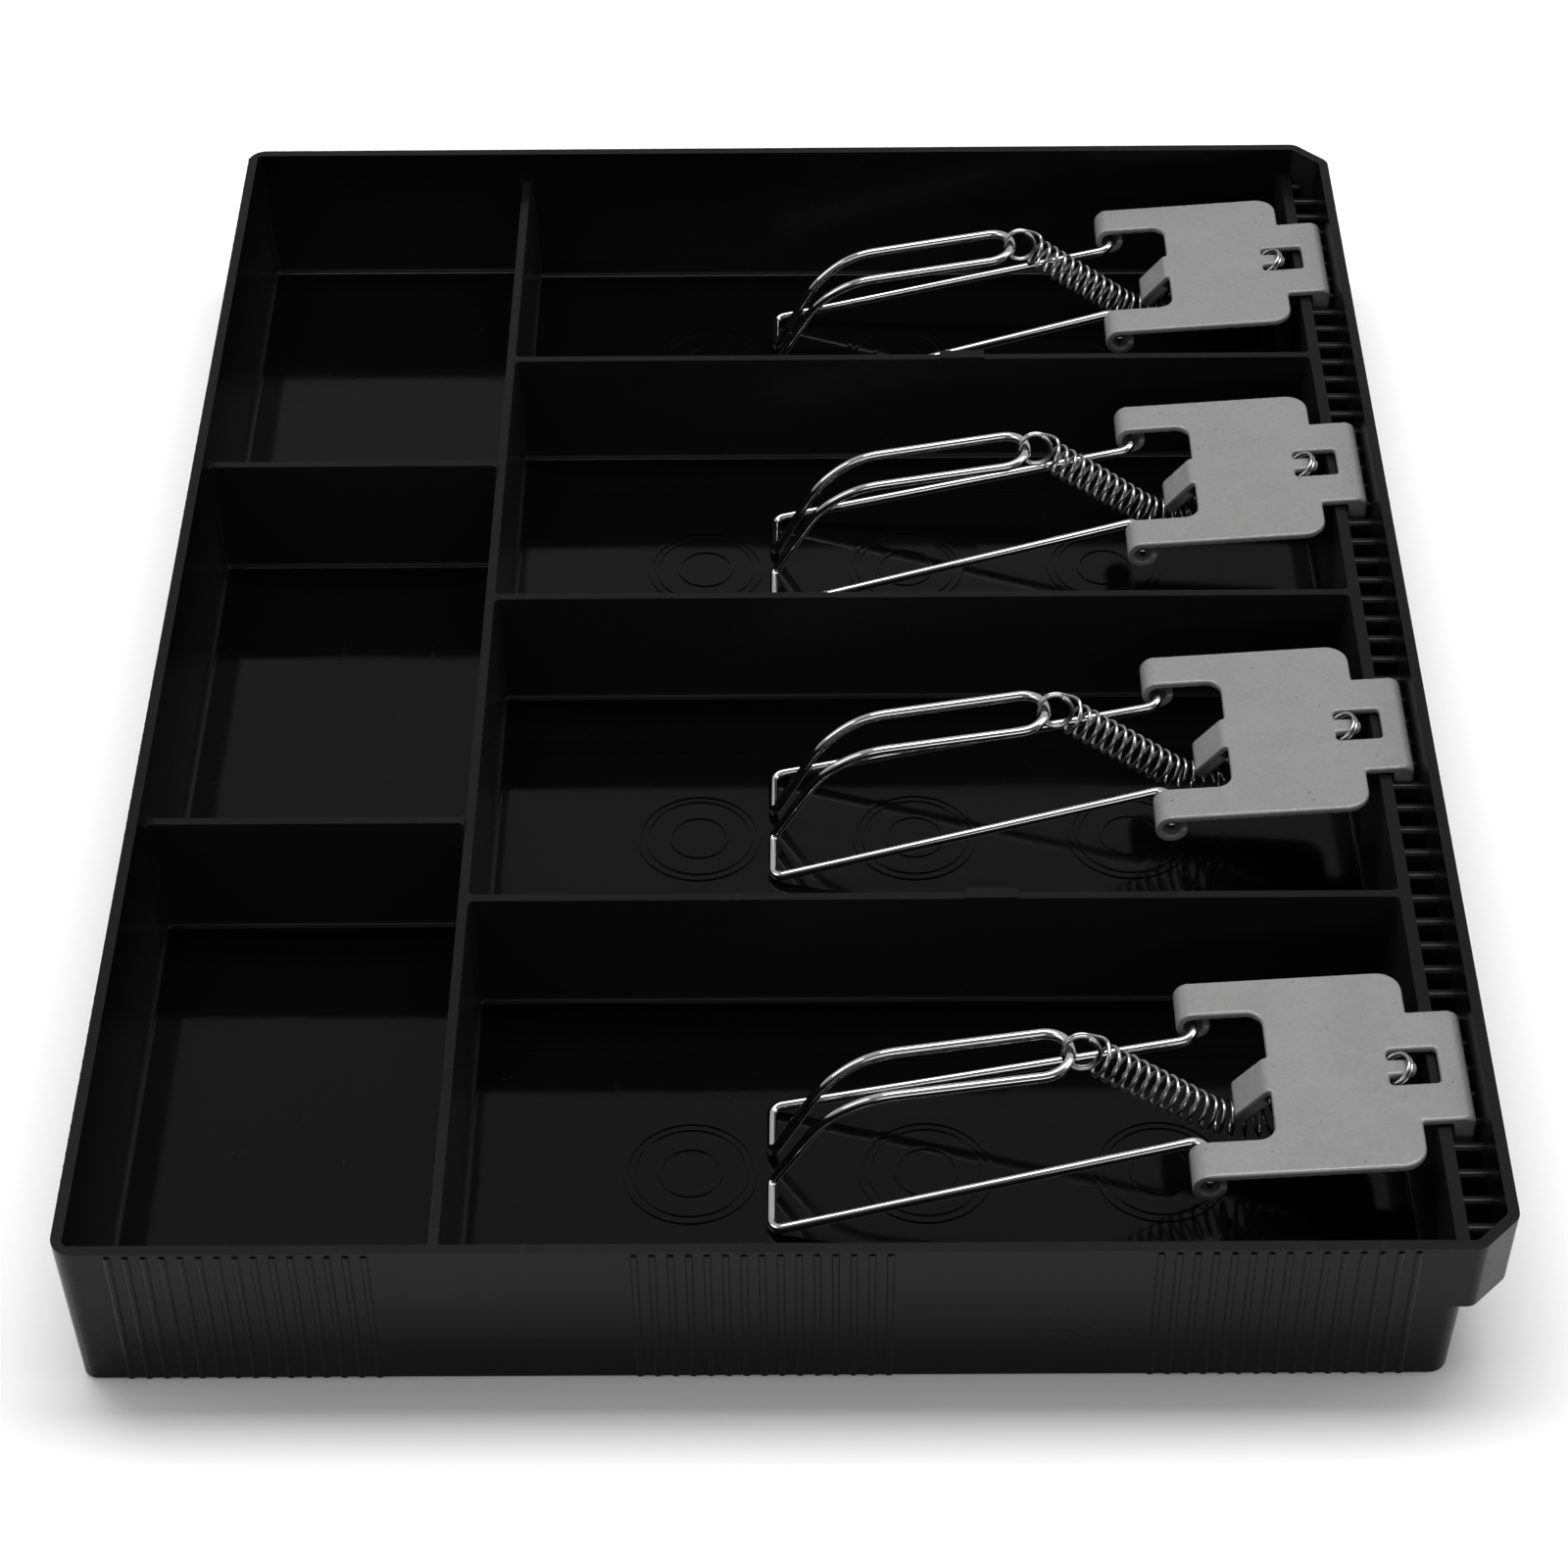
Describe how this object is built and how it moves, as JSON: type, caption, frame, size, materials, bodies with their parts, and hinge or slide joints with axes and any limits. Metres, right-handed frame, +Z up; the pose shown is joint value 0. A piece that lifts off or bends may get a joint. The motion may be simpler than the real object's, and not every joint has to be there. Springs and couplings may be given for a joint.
{
  "type": "cash drawer insert tray",
  "caption": "Black moulded cash tray with open coin bays beside note bays, each note bay with a sprung wire clip on a grey steel plate that stands in a side rack.",
  "frame": {"origin": "centre of the tray's flat bottom", "axes": "+X to the right, where the clips stand; +Y to the back of the drawer; +Z up"},
  "size_m": [0.2453, 0.3266, 0.0361],
  "materials": {
    "black_plastic": "glossy moulded ABS",
    "grey_paint": "semi-gloss powder paint with fine dark specks",
    "chrome_wire": "bright plated wire",
    "spring_steel": "bright drawn spring wire"
  },
  "bodies": {
    "tray": {"tray": "black_plastic"},
    "clip_1": {"clip_plate_1": "grey_paint", "clip_spring_1": "spring_steel"},
    "bail_1": {"clip_bail_1": "chrome_wire"},
    "clip_2": {"clip_plate_2": "grey_paint", "clip_spring_2": "spring_steel"},
    "bail_2": {"clip_bail_2": "chrome_wire"},
    "clip_3": {"clip_plate_3": "grey_paint", "clip_spring_3": "spring_steel"},
    "bail_3": {"clip_bail_3": "chrome_wire"},
    "clip_4": {"clip_plate_4": "grey_paint", "clip_spring_4": "spring_steel"},
    "bail_4": {"clip_bail_4": "chrome_wire"}
  },
  "joints": [
    {"name": "clip_lift_1", "type": "slide", "parent": "tray", "child": "clip_1", "axis": [0, 0, 1], "range_m": [0, 0.012]},
    {"name": "bail_hinge_1", "type": "hinge", "parent": "clip_1", "child": "bail_1", "pos_m": [0.07283, 0.12644, 0.0227], "axis": [0, 1, 0], "range_deg": [0, 110], "stiffness_Nm_per_rad": 0.04, "springref_deg": -57.3, "deforming": ["clip_spring_1"]},
    {"name": "clip_lift_2", "type": "slide", "parent": "tray", "child": "clip_2", "axis": [0, 0, 1], "range_m": [0, 0.012]},
    {"name": "bail_hinge_2", "type": "hinge", "parent": "clip_2", "child": "bail_2", "pos_m": [0.07283, 0.05348, 0.0227], "axis": [0, 1, 0], "range_deg": [0, 110], "stiffness_Nm_per_rad": 0.04, "springref_deg": -57.3, "deforming": ["clip_spring_2"]},
    {"name": "clip_lift_3", "type": "slide", "parent": "tray", "child": "clip_3", "axis": [0, 0, 1], "range_m": [0, 0.012]},
    {"name": "bail_hinge_3", "type": "hinge", "parent": "clip_3", "child": "bail_3", "pos_m": [0.07283, -0.02756, 0.0227], "axis": [0, 1, 0], "range_deg": [0, 110], "stiffness_Nm_per_rad": 0.04, "springref_deg": -57.3, "deforming": ["clip_spring_3"]},
    {"name": "clip_lift_4", "type": "slide", "parent": "tray", "child": "clip_4", "axis": [0, 0, 1], "range_m": [0, 0.012]},
    {"name": "bail_hinge_4", "type": "hinge", "parent": "clip_4", "child": "bail_4", "pos_m": [0.07283, -0.11676, 0.0227], "axis": [0, 1, 0], "range_deg": [0, 110], "stiffness_Nm_per_rad": 0.04, "springref_deg": -57.3, "deforming": ["clip_spring_4"]}
  ]
}
